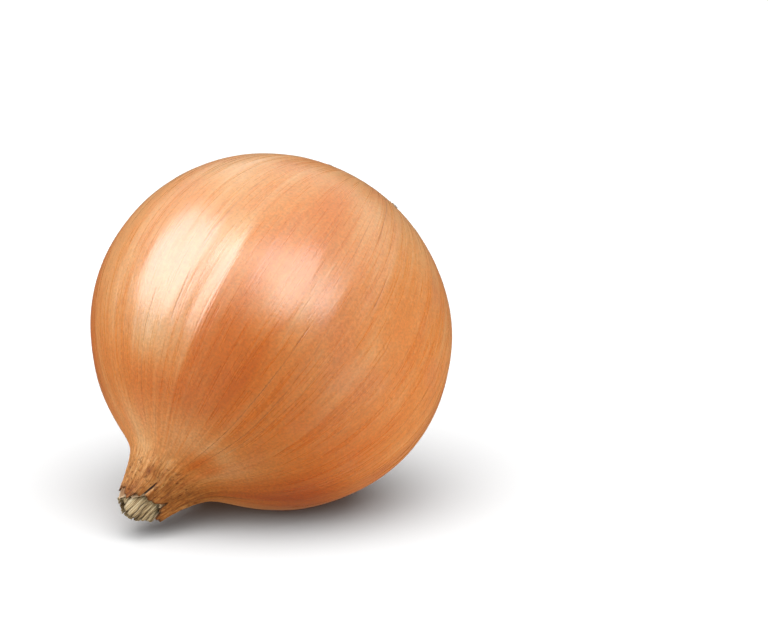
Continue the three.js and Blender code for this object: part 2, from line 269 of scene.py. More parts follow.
class Maker:
    """Builds one material's nodes."""

    def __init__(self, name):
        self.material = bpy.data.materials.new(name)
        self.material.use_nodes = True
        self.nodes = self.material.node_tree.nodes
        self.links = self.material.node_tree.links
        self.shader = self.nodes["Principled BSDF"]

    def plug(self, socket, value):
        if isinstance(value, bpy.types.NodeSocket):
            self.links.new(value, socket)
        elif value is not None:
            socket.default_value = value

    def node(self, kind, **settings):
        node = self.nodes.new(kind)
        for key, value in settings.items():
            setattr(node, key, value)
        return node

    def attribute(self, name, vector=False):
        node = self.node("ShaderNodeAttribute", attribute_name=name)
        return node.outputs["Vector" if vector else "Fac"]

    def object_place(self):
        return self.node("ShaderNodeTexCoord").outputs["Object"]

    def parts(self, vector):
        """The three numbers of a vector."""
        node = self.node("ShaderNodeSeparateXYZ")
        self.plug(node.inputs[0], vector)
        return node.outputs

    def stretch(self, vector, by):
        """A vector with each of its numbers multiplied, so that a pattern on it is drawn out or packed."""
        node = self.node("ShaderNodeVectorMath", operation="MULTIPLY")
        self.plug(node.inputs[0], vector)
        self.plug(node.inputs[1], by)
        return node.outputs["Vector"]

    def noise(self, vector, scale=1.0, detail=2.0, roughness=0.5, distortion=0.0):
        node = self.node("ShaderNodeTexNoise")
        self.plug(node.inputs["Vector"], vector)
        node.inputs["Scale"].default_value = scale
        node.inputs["Detail"].default_value = detail
        node.inputs["Roughness"].default_value = roughness
        node.inputs["Distortion"].default_value = distortion
        return node.outputs["Fac"]

    def math(self, operation, a, b=None, c=None):
        node = self.node("ShaderNodeMath", operation=operation)
        for socket, value in zip(node.inputs, (a, b, c)):
            self.plug(socket, value)
        return node.outputs[0]

    def add(self, value, *terms):
        """value plus each term's (pattern - 0.5) times its share, so that an even pattern adds nothing."""
        for pattern, share in terms:
            value = self.math("MULTIPLY_ADD", self.math("SUBTRACT", pattern, 0.5), share, value)
        return value

    def span(self, value, low, high, out_low=0.0, out_high=1.0, kind="SMOOTHSTEP"):
        """A value's stretch from low to high, carried over to another stretch."""
        node = self.node("ShaderNodeMapRange", interpolation_type=kind)
        for socket, number in zip(node.inputs, (value, low, high, out_low, out_high)):
            self.plug(socket, number)
        return node.outputs[0]

    def mix(self, share, a, b, blend="MIX"):
        node = self.node("ShaderNodeMix", data_type="RGBA", blend_type=blend)
        colour_inputs = [socket for socket in node.inputs if socket.type == "RGBA"]
        self.plug(node.inputs[0], share)
        self.plug(colour_inputs[0], a)
        self.plug(colour_inputs[1], b)
        return next(socket for socket in node.outputs if socket.type == "RGBA")

    def ramp(self, value, stops):
        node = self.node("ShaderNodeValToRGB")
        elements = node.color_ramp.elements
        while len(elements) < len(stops):
            elements.new(0.5)
        for element, (place, colour) in zip(elements, stops):
            element.position = place
            element.color = colour
        self.plug(node.inputs["Fac"], value)
        return node.outputs["Color"]

    def shade(self, colour, by):
        """A colour made darker or lighter by a number round 1."""
        grey = self.node("ShaderNodeCombineColor")
        for socket in grey.inputs[:3]:
            self.plug(socket, by)
        return self.mix(1.0, colour, grey.outputs[0], blend="MULTIPLY")

    def bump(self, height, distance, strength=1.0, under=None):
        node = self.node("ShaderNodeBump")
        node.inputs["Strength"].default_value = strength
        node.inputs["Distance"].default_value = distance
        self.plug(node.inputs["Height"], height)
        self.plug(node.inputs["Normal"], under)
        return node.outputs["Normal"]

    def finish(self, colour, roughness, normal=None, **constants):
        """Plugs the patterns into the shader and sets its constant values."""
        self.plug(self.shader.inputs["Base Color"], colour)
        self.plug(self.shader.inputs["Roughness"], roughness)
        self.plug(self.shader.inputs["Normal"], normal)
        for name, value in constants.items():
            self.shader.inputs[name.replace("_", " ")].default_value = value
        return self.material


def srgb(code):
    """A colour written as rrggbb, as the linear values that the shaders take."""
    values = np.array([int(code[i:i + 2], 16) for i in (0, 2, 4)]) / 255
    linear = np.where(values <= 0.04045, values / 12.92, ((values + 0.055) / 1.055) ** 2.4)
    return (*linear.tolist(), 1.0)


# ---------------------------------------------------------------- materials

def vein_lines(maker, count, width, seed):
    """Thin lines along the growth: the turn round the axis is cut in count uneven parts, and each part's
    border is a vein whose strength is random for the vein and fades in and out along it."""
    growth = maker.attribute("growth", vector=True)
    turn = maker.parts(maker.node("ShaderNodeUVMap", uv_map="skin_map").outputs[0])[0]
    uneven = maker.noise(maker.stretch(growth, (3.1, 3.1, 0.0)), scale=1.0 + 0.13 * seed, detail=1.0)
    sway = maker.noise(maker.stretch(growth, (1.6, 1.6, 1.1)), scale=1.0 + 0.17 * seed, detail=2.0)
    place = maker.math("MULTIPLY_ADD", turn, float(count), maker.math("MULTIPLY", uneven, 3.0))
    place = maker.math("ADD", place, maker.math("MULTIPLY", sway, 1.1))
    across = maker.math("PINGPONG", place, 0.5)
    line = maker.span(across, 0.0, width, 1.0, 0.0)
    nearest = maker.math("FLOORED_MODULO", maker.math("ROUND", place), float(count))
    pick = maker.node("ShaderNodeTexWhiteNoise", noise_dimensions="1D")
    maker.plug(pick.inputs["W"], maker.math("ADD", nearest, 17.3 * seed))
    strength = maker.span(pick.outputs["Value"], 0.35, 1.0)
    fade = maker.noise(maker.stretch(growth, (11.0, 11.0, 2.6)), scale=1.0 + 0.21 * seed, detail=2.0)
    return maker.math("MULTIPLY", maker.math("MULTIPLY", line, strength), maker.span(fade, 0.40, 0.60))


def dry_skin():
    """Thin coppery skin: peach to rust streaks along the growth, fine dark veins and papery grain under a
    pearly shine, turning to dull wrinkled tan in the neck."""
    maker = Maker("dry_skin")
    growth = maker.attribute("growth", vector=True)
    along = maker.parts(growth)[2]
    place = maker.object_place()

    clouds = maker.noise(maker.stretch(growth, (1.9, 1.9, 1.5)), detail=3.0, roughness=0.55)
    bands = maker.noise(maker.stretch(growth, (9.0, 9.0, 0.8)), detail=3.0, roughness=0.6)
    streaks = maker.noise(maker.stretch(growth, (30.0, 30.0, 1.5)), detail=3.0, roughness=0.6)
    fibres = maker.noise(maker.stretch(growth, (90.0, 90.0, 4.0)), detail=2.0, roughness=0.6)
    mottle = maker.noise(maker.stretch(growth, (34.0, 34.0, 17.0)), detail=3.0, roughness=0.65)
    grain = maker.noise(place, scale=1700.0, detail=3.0, roughness=0.6)

    tone = maker.add(
        maker.attribute("tone"),
        (clouds, 0.5), (bands, 0.36), (streaks, 0.36), (fibres, 0.26), (mottle, 0.2),
    )
    colour = maker.ramp(tone, (
        (0.0, srgb("c25a14")),
        (0.25, srgb("d07024")),
        (0.5, srgb("d98842")),
        (0.75, srgb("dfa368")),
        (1.0, srgb("e4bc92")),
    ))
    blush = maker.noise(maker.stretch(growth, (2.3, 2.3, 2.6)), scale=1.3, detail=2.0)
    colour = maker.mix(maker.span(blush, 0.48, 0.75, 0.0, 0.3), colour, srgb("d07c50"))

    neck_streaks = maker.noise(maker.stretch(growth, (26.0, 26.0, 7.0)), detail=4.0, roughness=0.7)
    neck_spots = maker.noise(maker.stretch(growth, (9.0, 9.0, 16.0)), detail=3.0, roughness=0.6)
    neck_tone = maker.add(0.5, (maker.attribute("tone"), 0.6), (neck_streaks, 0.6), (neck_spots, 0.65))
    neck_tan = maker.ramp(neck_tone, (
        (0.20, srgb("793e10")),
        (0.40, srgb("a9682c")),
        (0.58, srgb("c4884a")),
        (0.80, srgb("daac76")),
    ))
    into_neck = maker.span(maker.add(along, (bands, 0.25)), 0.86, 1.06)
    colour = maker.mix(into_neck, colour, neck_tan)
    folds = maker.stretch(growth, (10.0, 10.0, 55.0))
    wrinkles = maker.noise(folds, detail=3.0, roughness=0.6, distortion=0.6)
    wrinkles = maker.math("MULTIPLY", maker.span(wrinkles, 0.56, 0.72), maker.span(along, 0.94, 1.04))
    # Darker in the wrinkles' folds: painted shade in the creases.
    colour = maker.mix(maker.math("MULTIPLY", wrinkles, 0.6), colour, srgb("6e3a12"))
    strokes = maker.noise(maker.stretch(growth, (60.0, 60.0, 11.0)), detail=3.0, roughness=0.7)
    strokes = maker.math("MULTIPLY", maker.span(strokes, 0.50, 0.64), maker.span(along, 0.88, 1.04))
    colour = maker.mix(maker.math("MULTIPLY", strokes, 0.55), colour, srgb("6a4018"))
    colour = maker.mix(maker.span(along, -0.84, -0.96, 0.0, 0.5), colour, srgb("b8834a"))

    veins = maker.math("MAXIMUM", vein_lines(maker, 61, 0.06, 1), vein_lines(maker, 97, 0.07, 2))
    colour = maker.mix(maker.math("MULTIPLY", veins, 0.5), colour, srgb("87431a"))
    colour = maker.shade(colour, maker.span(grain, 0.33, 0.67, 0.86, 1.14, kind="LINEAR"))
    # Dark brown along the torn edges: partly stains, partly painted shade under and along the edge of the
    # outer skin.
    colour = maker.mix(maker.math("MULTIPLY", maker.attribute("torn"), 0.75), colour, srgb("4c2a10"))

    roughness = maker.add(0.29, (streaks, 0.16), (fibres, 0.10))
    roughness = maker.math("ADD", roughness, maker.span(along, 0.74, 1.0, 0.0, 0.42))
    maker.plug(maker.shader.inputs["Specular IOR Level"], maker.span(along, 0.72, 0.98, 1.0, 0.2))
    normal = maker.bump(maker.add(grain, (fibres, 1.4), (streaks, 1.6)), 0.00005, 0.6)
    normal = maker.bump(maker.math("MULTIPLY", veins, -1.0), 0.00006, 0.6, under=normal)
    normal = maker.bump(maker.math("MULTIPLY", wrinkles, -1.0), 0.00025, 0.8, under=normal)
    return maker.finish(
        colour, roughness, normal,
        IOR=1.55, Subsurface_Weight=0.05, Subsurface_Scale=0.002,
    )


def inner_skin():
    """The next skin under the torn edge: duller, darker and more fibrous, with a pale torn lip and painted
    shadow in the deepest slit and beside the tab.
    """
    maker = Maker("inner_skin")
    growth = maker.attribute("growth", vector=True)
    fibres = maker.noise(maker.stretch(growth, (55.0, 55.0, 5.0)), detail=3.0, roughness=0.65)
    blotches = maker.noise(maker.stretch(growth, (9.0, 9.0, 9.0)), detail=2.0)
    colour = maker.ramp(maker.add(0.5, (fibres, 0.7), (blotches, 0.5)), (
        (0.3, srgb("4f2c12")),
        (0.5, srgb("87582a")),
        (0.7, srgb("b98c50")),
    ))
    colour = maker.mix(maker.math("MULTIPLY", maker.attribute("torn"), 0.8), colour, srgb("e0c8a4"))
    # Painted shadow: near black in the deepest slit and beside the tab, where the outer skin shades it.
    colour = maker.mix(maker.math("MULTIPLY", maker.attribute("painted_shade"), 0.85), colour, srgb("2c1708"))
    return maker.finish(colour, 0.72, maker.bump(fibres, 0.0001, 0.8))


def pale_sheath():
    """Dried straw-coloured sheath: pale fibres side by side, darker in the gaps and at the torn ends, with
    painted shade in its cracks and on its inner side.
    """
    maker = Maker("pale_sheath")
    lane = maker.attribute("lane", vector=True)
    fibres = maker.noise(maker.stretch(lane, (13.0, 0.9, 13.0)), detail=4.0, roughness=0.7)
    blotches = maker.noise(maker.stretch(lane, (1.6, 1.5, 1.6)), detail=2.0)
    colour = maker.ramp(maker.add(0.5, (fibres, 1.0), (blotches, 0.4)), (
        (0.25, srgb("5c4424")),
        (0.40, srgb("9a8158")),
        (0.55, srgb("c8b68c")),
        (0.75, srgb("efe6cb")),
    ))
    colour = maker.mix(maker.math("MULTIPLY", maker.attribute("torn"), 0.45), colour, srgb("5d4522"))
    # Painted shade in the sleeves' cracks and on their inner sides.
    colour = maker.mix(maker.math("MULTIPLY", maker.attribute("painted_shade"), 0.8), colour, srgb("4a3216"))
    return maker.finish(colour, 0.78, maker.bump(fibres, 0.00015, 0.9))


def root_bark():
    """Dried root: dark brown to rust and straw from root to root, dull and wrinkled."""
    maker = Maker("root_bark")
    place = maker.object_place()
    crumbs = maker.noise(place, scale=1800.0, detail=3.0, roughness=0.65)
    tone = maker.add(maker.attribute("tone"), (crumbs, 0.45))
    colour = maker.ramp(tone, (
        (0.0, srgb("241610")),
        (0.35, srgb("4a2d1d")),
        (0.6, srgb("7b4a2b")),
        (0.8, srgb("b08a5c")),
        (1.0, srgb("d9c9a0")),
    ))
    return maker.finish(colour, 0.88, maker.bump(crumbs, 0.00012, 0.9))


def white_floor():
    """A plain matt floor, pale under its own bright lights."""
    maker = Maker("white_floor")
    return maker.finish((0.12, 0.12, 0.12, 1.0), 0.9, Specular_IOR_Level=0.0)


# ---------------------------------------------------------------- the outer skin

# The skin has dried into long panels: where each starts (degrees), how far its middle sags below the round,
# and how pale (+) or rusty (-) it is. The pale panel from 332.5 degrees lies under the key's highlight and
# the rusty one before it lies beside the highlight: their tones are partly painted highlight and painted
# shade.
PANELS = (
    (8, 0.10, 0.02), (30, 0.08, -0.04), (58, 0.14, 0.03), (92, 0.20, -0.03), (119, 0.24, 0.05),
    (150, 0.20, -0.04), (181, 0.22, 0.02), (207, 0.18, -0.04), (236, 0.20, 0.03), (262, 0.18, -0.02),
    (287, 0.20, 0.00), (309, 0.32, -0.10), (332.5, 0.36, 0.10), (350, 0.12, 0.01),
)
PANEL_BLUR = np.radians(0.9)  # how softly one panel's tone gives way to the next one's
SKIN_COLUMNS = 560
BODY_ROWS, NECK_ROWS, LINING_ROWS = 112, 42, 5
SKIN_THICKNESS = 0.2
SLIT_DIRECTION, SLIT_DEPTH = 318, 3.9  # of the deepest slit at the torn edge
SLIT_HALF_WIDTHS = np.radians((1.1, 3.2))  # of its bottom and of its mouth
SKIN_REACHES = ((343, 30, 1.8), (246, 17, 1.1), (42, 14, -0.2))  # direction, half width, further out
SKIN_LIFTS = ((311, 9, 0.5), (333, 8, 0.3), (256, 10, 0.6))  # direction, half width, height


def panel_place(s, phi):
    """Which panel each point lies in, and how far across it, from 0 to 1."""
    starts = np.radians([start for start, _, _ in PANELS])
    edges = np.concatenate([[starts[-1] - TURN], starts, [starts[0] + TURN]])
    turn = (phi + 0.035 * np.sin(s / 13 + 0.6)) % TURN
    i = np.clip(np.searchsorted(edges, turn, side="right") - 1, 0, len(PANELS))
    width = edges[i + 1] - edges[i]
    return (i - 1) % len(PANELS), (turn - edges[i]) / width, width


def panel_sag(s, phi):
    """Between two crease lines the skin sags below the round, as a parabola of the place across."""
    panel, across, _ = panel_place(s, phi)
    sags = np.array([sag for _, sag, _ in PANELS])[panel]
    return -sags * 4 * across * (1 - across) * np.cos(np.clip(s / 40, -1, 1) * 0.5 * np.pi)


def panel_tone(s, phi):
    """Each panel's tone, partly painted highlight and shade, eased into its neighbour's tone at the crease
    between them.
    """
    tones = np.array([tone for _, _, tone in PANELS])
    panel, across, width = panel_place(s, phi)
    own, before, after = tones[panel], tones[panel - 1], tones[(panel + 1) % len(PANELS)]
    into_before = 0.5 * (1 - smoothstep(across * width, 0, PANEL_BLUR))
    into_after = 0.5 * (1 - smoothstep((1 - across) * width, 0, PANEL_BLUR))
    return own + (before - own) * into_before + (after - own) * into_after


def patch(s, phi, place, direction, half_length, half_turn):
    """A soft patch: a bell curve round a place along the axis and a direction in degrees."""
    return np.exp(-((s - place) / half_length) ** 2 - (turn_gap(phi, direction) / np.radians(half_turn)) ** 2)


# Patches of another tone, from the roots to the neck: place along the axis, direction (degrees), half length,
# half turn (degrees), and how much paler (+) or rustier (-) they are. They are partly the skin's own tone and
# partly painted light: paler under the highlights, rustier and darker along the shaded bottom rim and in the
# shoulder's crease.
PATCHES = (
    (-23, 301, 9, 9, 0.12), (-20, 316, 8, 12, -0.20), (-20, 354, 10, 15, 0.18), (-14, 344, 6, 8, 0.14),
    (-3, 336, 8, 9, 0.20), (4, 16, 30, 22, 0.13), (5, 310, 6, 9, 0.20), (13, 314, 13, 16, -0.17),
    (18, 345, 6, 9, 0.14), (20, 286, 8, 12, -0.04), (20, 353, 6, 7, 0.24), (21, 352, 5, 6, 0.12),
    (25, 308, 7, 16, -0.10), (28, 318, 6, 22, -0.04), (29, 14, 5, 16, -0.08), (29.5, 342, 3.5, 22, -0.20),
    (30, 235, 8, 17, -0.36), (34, 244, 14, 20, -0.22), (34.5, 296, 2.6, 22, 0.22), (35.5, 294, 1.6, 7, -0.26),
    (36.2, 283, 1.4, 5, -0.22), (37.2, 296, 1.5, 8, -0.22), (38.5, 0, 4, 18, 0.28), (39.6, 321, 1.6, 9, 0.18),
    (42.4, 334, 1, 8, -0.40), (44, 282, 5, 32, -0.24), (46.3, 313.5, 2.2, 2, 0.55), (48, 352, 1.6, 14, -0.35),
)


def skin_tone(s, phi):
    """How pale the skin is, from 0 for rust to 1 for peach: paler towards the roots, a little rustier below
    the equator, with the panels' tones and the patches, which are partly painted highlight and shade."""
    tone = 0.52 + 0.16 * smoothstep(-s, 5, 32) - 0.10 * smoothstep(s, 5, 20) * (1 - smoothstep(s, 26, 36))
    tone = tone + panel_tone(s, phi) * (1 - smoothstep(np.abs(s - 9), 12, 26))
    for place, direction, half_length, half_turn, paler in PATCHES:
        tone = tone + paler * patch(s, phi, place, direction, half_length, half_turn)
    return tone


def fine_relief(s, phi):
    """Small ridges along the growth, sharper and deeper in the drying neck."""
    drift = 0.05 * np.sin(s / 11 + 2 * np.cos(phi))
    ridges = 0.026 * wander(phi + drift, 11, 26, 20, 95, 0.7)
    wrinkles = 0.022 * wander(phi + 0.6 * drift, 12, 34, 24, 110, 0.35)
    cross_wrinkles = 0.05 * np.cos(2.9 * s + 3 * np.sin(3 * phi) + 2 * np.cos(7 * phi)) * np.cos(5 * phi + s)
    towards_neck = smoothstep(s, 34, 43)
    return ridges * (1 - towards_neck) + (wrinkles + cross_wrinkles) * towards_neck


def lifted_edges(s, phi):
    """The skin stands off beside the slits: a short swell that grows towards the torn edge."""
    return bumps_round(phi, SKIN_LIFTS) * smoothstep(s, 43.5, 48)


def full_radius(s, phi):
    """The solid's radius with the panels' sag, the fine relief and the lifted edges added."""
    extra = panel_sag(s, phi) + fine_relief(s, phi) + lifted_edges(s, phi)
    return skin_radius(s) + relief(s, phi) + extra


def torn_line(phi):
    """The outer skin's torn edge with its fine tears. The deepest slit is drawn closer than in the solid: a
    narrow gap with steep sides."""
    tears = 0.5 * sawtooth_tears(phi, 21, 46) + 0.3 * sawtooth_tears(phi, 22, 130)
    closed = bumps_round(phi, SLITS[:1])
    gap = 1 - smoothstep(turn_gap(phi, SLIT_DIRECTION), *SLIT_HALF_WIDTHS)
    return skin_end(phi) + closed - SLIT_DEPTH * gap - tears + 0.3 + bumps_round(phi, SKIN_REACHES)


def slit_slant(s, phi):
    """How far the skin beside the deepest slit is turned, in radians, so that the slit runs aslant."""
    return np.radians(1.4) * (s - 47.7) * bump_round(phi, SLIT_DIRECTION, 22) * smoothstep(s, 41.5, 44.5)


def root_line(phi):
    """The radius of the skin's torn edge round the root plate, with its fine tears."""
    return dimple_edge(phi) + 0.5 * sawtooth_tears(phi, 23, 40) - 0.2


def outer_skin(material):
    """One closed surface of rows round the axis: the dimple under the root plate, the torn edge round it,
    the belly, the neck up to its torn edge, and the lining back down inside the neck."""
    phi = directions_round(SKIN_COLUMNS)
    edge = root_line(phi)
    rows_s = [np.full_like(phi, DIMPLE_FLOOR), np.full_like(phi, DIMPLE_FLOOR), root_side_at(edge) + 0.25]
    rows_r = [0.5 * edge, edge - 0.1, edge]
    first = -np.arccos((edge + 0.12) / EQUATOR_RADIUS)
    last = np.radians(60)
    for share in np.linspace(0, 1, BODY_ROWS):
        angle = lerp(first, last, share)
        s = np.where(angle < 0, ROOT_HALF_LENGTH, NECK_HALF_LENGTH) * np.sin(angle)
        rows_s.append(s)
        rows_r.append(full_radius(s, phi))
    shoulder = NECK_HALF_LENGTH * np.sin(last)
    end = torn_line(phi)
    for share in np.linspace(0, 1, NECK_ROWS + 1)[1:]:
        s = lerp(shoulder, end, share)
        rows_s.append(s)
        rows_r.append(full_radius(s, phi))
    for share in np.linspace(0, 1, LINING_ROWS):
        s = lerp(end - 0.05, LINING_END, share)
        rows_s.append(s)
        rows_r.append(np.minimum(full_radius(s, phi) - SKIN_THICKNESS, lerp(9.0, 7.2, share)))
    s, radius = np.array(rows_s), np.array(rows_r)
    rows = len(s)
    turn = np.broadcast_to(phi, s.shape)
    growth_points = around(s, turn + slit_slant(s, turn), radius)
    poles = np.array([[0, 0, DIMPLE_FLOOR], [bend(LINING_END), 0, LINING_END]])
    points = laid(np.concatenate([growth_points.reshape(-1, 3), poles]))
    points[:, 2] = np.maximum(points[:, 2], 0)
    count = rows * SKIN_COLUMNS
    quads = round_faces(rows, SKIN_COLUMNS)
    caps = [
        fan_faces(count, 0, SKIN_COLUMNS, outwards_last=False),
        fan_faces(count + 1, (rows - 1) * SKIN_COLUMNS, SKIN_COLUMNS, outwards_last=True),
    ]
    faces = quads.tolist() + caps[0].tolist() + caps[1].tolist()
    piece = mesh_object("bulb_skin", points, faces, material)
    growth = np.concatenate([growth_place(s, turn), [[0, 0, -1], [0, 0, 1]]])
    set_attribute(piece, "growth", growth, "FLOAT_VECTOR")
    edge_gap = np.abs(torn_line(turn) - s)
    # Blotches near the neck's torn edge: partly stains, partly painted shade along the edge.
    edge_stains_and_shade = 0.6 * np.exp(-edge_gap / 1.3) * smoothstep(wander(turn, 51, 12, 5, 30, 0.5), -0.4, 1.2)
    near_neck_edge = np.minimum(1, np.exp(-edge_gap / 0.32) + edge_stains_and_shade)
    near_root_edge = np.exp(-np.maximum(radius - root_line(turn), 0) / 0.5) * (s < 0)
    torn = np.maximum(near_neck_edge, near_root_edge).ravel()
    set_attribute(piece, "torn", np.concatenate([torn, [1, 1]]))
    set_attribute(piece, "tone", np.concatenate([skin_tone(s, turn).ravel(), [0.5, 0.5]]))
    add_turn_map(piece, rows, SKIN_COLUMNS)
    return piece


def add_turn_map(piece, rows, columns):
    """A UV map whose first value is the turn round the axis, from 0 to 1, and whose second is the row."""
    i, j = np.meshgrid(np.arange(rows - 1), np.arange(columns), indexing="ij")
    u = np.stack([j, j + 1, j + 1, j], axis=-1) / columns
    v = np.stack([i, i, i + 1, i + 1], axis=-1) / (rows - 1)
    quads = np.stack([u, v], axis=-1).reshape(-1, 2)
    j = np.arange(columns)
    first_cap = np.stack([np.stack([j + 0.5, j + 1, j], -1) / columns, np.zeros((columns, 3))], -1)
    last_cap = np.stack([np.stack([j + 0.5, j, j + 1], -1) / columns, np.ones((columns, 3))], -1)
    layer = piece.data.uv_layers.new(name="skin_map")
    values = np.concatenate([quads, first_cap.reshape(-1, 2), last_cap.reshape(-1, 2)])
    layer.data.foreach_set("uv", values.astype(np.float32).ravel())


# ---------------------------------------------------------------- the torn neck

def sheath_layer(name, material, radius_at, end_at, thickness, dark_at, lip=0.3):
    """A closed thin sleeve round the bent axis: the outer side up to its torn end and the inner side back.
    Its torn mark fades away from the end within a lip, and its inner side is painted dark, as shade, but for
    the rim."""
    rows, columns = 34, 400
    phi = directions_round(columns)
    end = end_at(phi)
    share = np.concatenate([np.linspace(0, 1, rows), np.linspace(1, 0, rows)])
    inside = np.concatenate([np.zeros(rows), np.ones(rows)])
    s = lerp(SLEEVE_START, end, share[:, None])
    turn = np.broadcast_to(phi, s.shape)
    radius = radius_at(s, turn) - thickness * inside[:, None]
    points = laid(around(s, turn, radius).reshape(-1, 3))
    quads = round_faces(2 * rows, columns)
    i = 2 * rows - 1
    j = np.arange(columns)
    k = (j + 1) % columns
    closing = np.stack([i * columns + j, i * columns + k, k, j], axis=-1)
    piece = mesh_object(name, points, np.concatenate([quads, closing]).tolist(), material)
    set_attribute(piece, "growth", growth_place(s, turn), "FLOAT_VECTOR")
    lane = np.stack([0.45 * radius * np.cos(turn), s / 8, 0.45 * radius * np.sin(turn)], axis=-1)
    set_attribute(piece, "lane", lane.reshape(-1, 3), "FLOAT_VECTOR")
    set_attribute(piece, "torn", np.exp(-(end - s) / lip).ravel())
    # The dark_at marks and the darkened inner side are painted shade.
    dark = np.minimum(1, dark_at(s, turn) + 0.7 * inside[:, None] * smoothstep(end - s, 0.1, 0.5))
    set_attribute(piece, "painted_shade", dark.ravel())
    return piece


SECOND_REACHES = ((8, 62, 3.2), (318, 14, 0.5), (241, 20, 3.0))  # direction, half width, further out


def second_skin(material):
    """The skin under the outer one, seen in the slits and as a pale lip past the torn edge."""
    def radius_at(s, phi):
        round_it = np.maximum(skin_radius(s) - 0.35 + 0.6 * relief(s, phi), 4.75)
        return round_it + 0.05 * wander(phi, 31, 26, 20, 80, 0.5)

    def end_at(phi):
        ragged = 0.4 * wander(phi, 32, 8, 3, 11, 0.5) - 0.9 * sawtooth_tears(phi, 33, 60)
        return 47.4 + bumps_round(phi, SECOND_REACHES) + ragged

    def dark_at(s, phi):
        # Painted shadow under the deepest slit and in the gaps beside the tab.
        under_slit = bump_round(phi - slit_slant(s, phi), SLIT_DIRECTION, 9) * (1 - smoothstep(s, 46.6, 47.6))
        beside_tab = bumps_round(phi, ((257, 5, 1), (233, 5, 1)))
        return np.minimum(1, under_slit + beside_tab * smoothstep(s, 46, 47))

    return sheath_layer("second_skin", material, radius_at, end_at, 0.15, dark_at, lip=0.5)


# Two sides of the sheaths were torn off further out, and notches are torn in between.
SHEATH_TONGUES = ((295, 85, 3.0), (125, 60, 1.8))  # direction, half width, further out
SHEATH_NOTCHES = ((277, 6, 2.3), (261, 4, 1.3), (302, 3, 1.0))  # direction, half width, depth
SHEATH_SLEEVES = (  # name, radius, end, thickness, seed
    ("outer_sheath", SHEATH_RADIUS, 49.9, 0.24, 41),
    ("middle_sheath", 3.6, 48.8, 0.24, 45),
)


def sheath_end(end, phi, radius):
    """Where a sheath at a radius ends: further out in the tongues, the more the wider its ring is."""
    return end + radius / SHEATH_RADIUS * bumps_round(phi, SHEATH_TONGUES)


def sheath_sleeve(name, material, radius, ring_end, thickness, seed):
    """A pale sheath round the neck's core: fine ribs along it, narrow cracks that deepen towards its end,
    and an end split by a few slits."""
    rng = np.random.default_rng(seed)
    directions = np.degrees(np.cumsum(rng.uniform(0.2, 0.62, 16)))
    depths = rng.uniform(0.5, 2.2, 16)
    half_widths = rng.uniform(2.0, 4.0, 16)

    def cracks(s, phi):
        lines = (*(directions[::2] + 5.0), *(way for way, _, _ in SHEATH_NOTCHES))
        # The cracks are sunk a little into the sleeve and painted dark as shade.
        deep = sum(bump_round(phi + 0.02 * np.sin(2 * s), way, 3.2) for way in lines)
        return deep * smoothstep(s, 47.0, 49.0)

    def radius_at(s, phi):
        ribs = 0.06 * wander(phi, seed + 1, 30, 14, 80, 0.4)
        waves = 0.14 * np.cos(3 * phi + seed) * smoothstep(s, 48, 51)
        return radius + ribs + waves - 0.3 * cracks(s, phi)

    def end_at(phi):
        end = sheath_end(ring_end, phi, radius) + 0.25 - 0.7 * sawtooth_tears(phi, seed + 2, 34)
        return end - bumps_round(phi, (*zip(directions, half_widths, depths), *SHEATH_NOTCHES))

    return sheath_layer(name, material, radius_at, end_at, thickness, cracks)


STRIP_RINGS = (  # radius, strips, end, thickness
    (2.9, 8, 48.7, 0.24),
    (2.2, 6, 48.9, 0.24),
    (1.5, 5, 48.7, 0.26),
    (0.8, 3, 48.7, 0.28),
)
STRIP_ACROSS, STRIP_ALONG = 18, 20


def sheath_strip(rng, ring_radius, direction, half_turn, end, thickness):
    """One torn strip: a curved blade from deep in the neck to a ragged end. Across it the turn goes from
    edge to edge, along it the radius flares or pinches a little, and fibres ridge its face."""
    across = np.linspace(-1, 1, STRIP_ACROSS)
    along = np.linspace(0, 1, STRIP_ALONG)
    v, u = np.meshgrid(along, across, indexing="ij")
    tears = np.interp(across, np.linspace(-1, 1, 9), rng.uniform(-1.0, 0.35, 9))
    slant = rng.uniform(-0.5, 0.5)
    ends = end + 0.5 * tears + slant * across
    s = lerp(STRIP_START, ends[None, :], v)
    narrowing = 1 - rng.uniform(0.0, 0.25) * v ** 3
    turn = direction + half_turn * narrowing * u + rng.uniform(-0.06, 0.06) * v ** 2
    flare = rng.uniform(-0.3, 0.2) * smoothstep(s, 47.0, 51.0)
    cup = rng.uniform(-0.15, 0.2) * u ** 2 * v
    waves = 0.05 * np.cos(11 * u + rng.uniform(0, TURN)) + 0.035 * np.cos(23 * u + rng.uniform(0, TURN))
    radius = ring_radius + flare + cup + waves
    outer = around(s, turn, radius)
    inner = around(s, turn, radius - thickness * (1 - 0.5 * np.abs(u) ** 3))
    lane = np.stack([u + 7 * direction, s / 8, ring_radius + 0 * u], axis=-1)
    torn = np.exp(-(ends[None, :] - s) / 0.22)
    return outer, inner, lane, torn


def strip_faces(rows, columns):
    """Faces of a closed blade: outer grid, inner grid turned round, and the four borders between them."""
    size = rows * columns
    i, j = np.meshgrid(np.arange(rows - 1), np.arange(columns - 1), indexing="ij")
    a = i * columns + j
    outer = np.stack([a, a + 1, a + columns + 1, a + columns], axis=-1).reshape(-1, 4)
    inner = outer[:, ::-1] + size
    r = np.arange(rows - 1) * columns
    c = np.arange(columns - 1)
    left = np.stack([r + size, r, r + columns, r + columns + size], axis=-1)
    e = r + columns - 1
    right = np.stack([e, e + size, e + columns + size, e + columns], axis=-1)
    bottom = np.stack([c + size, c + 1 + size, c + 1, c], axis=-1)
    t = c + (rows - 1) * columns
    top = np.stack([t, t + 1, t + 1 + size, t + size], axis=-1)
    return np.concatenate([outer, inner, left, right, bottom, top])


